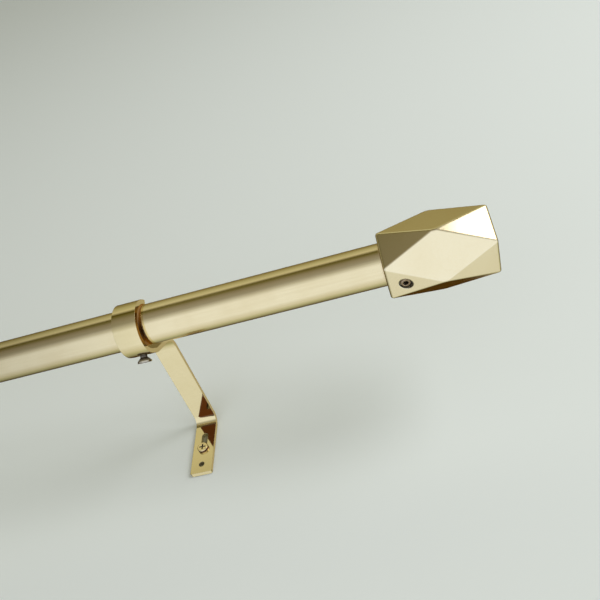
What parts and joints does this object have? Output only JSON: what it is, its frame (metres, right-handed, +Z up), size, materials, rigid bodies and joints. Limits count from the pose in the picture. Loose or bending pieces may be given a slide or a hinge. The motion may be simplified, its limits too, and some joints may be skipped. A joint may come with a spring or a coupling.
{
  "type": "eyelet curtain rod",
  "caption": "Straight round curtain rod for eyelet curtains, with faceted finials, held clear of the wall by bent-strip hook brackets with clamp screws.",
  "frame": {"origin": "on the wall face, halfway between the brackets, at the height of their lower screw holes", "axes": "+X along the rod to the right as seen from the room, +Y into the wall, +Z up"},
  "size_m": [0.8332, 0.1609, 0.0523],
  "materials": {
    "rod": "brushed lengthwise",
    "finial": "satin, gold coloured",
    "bracket": "polished",
    "wall_screw": "polished",
    "clamp_screw": "plated",
    "set_screw": "plain"
  },
  "bodies": {
    "root": {"rod_tube": "rod", "finial_right": "finial", "finial_set_screw_right": "set_screw", "bracket_right": "bracket", "clamp_screw_right": "clamp_screw", "wall_screw_right": "wall_screw", "finial_left": "finial", "finial_set_screw_left": "set_screw", "bracket_left": "bracket", "clamp_screw_left": "clamp_screw", "wall_screw_left": "wall_screw"}
  },
  "joints": []
}
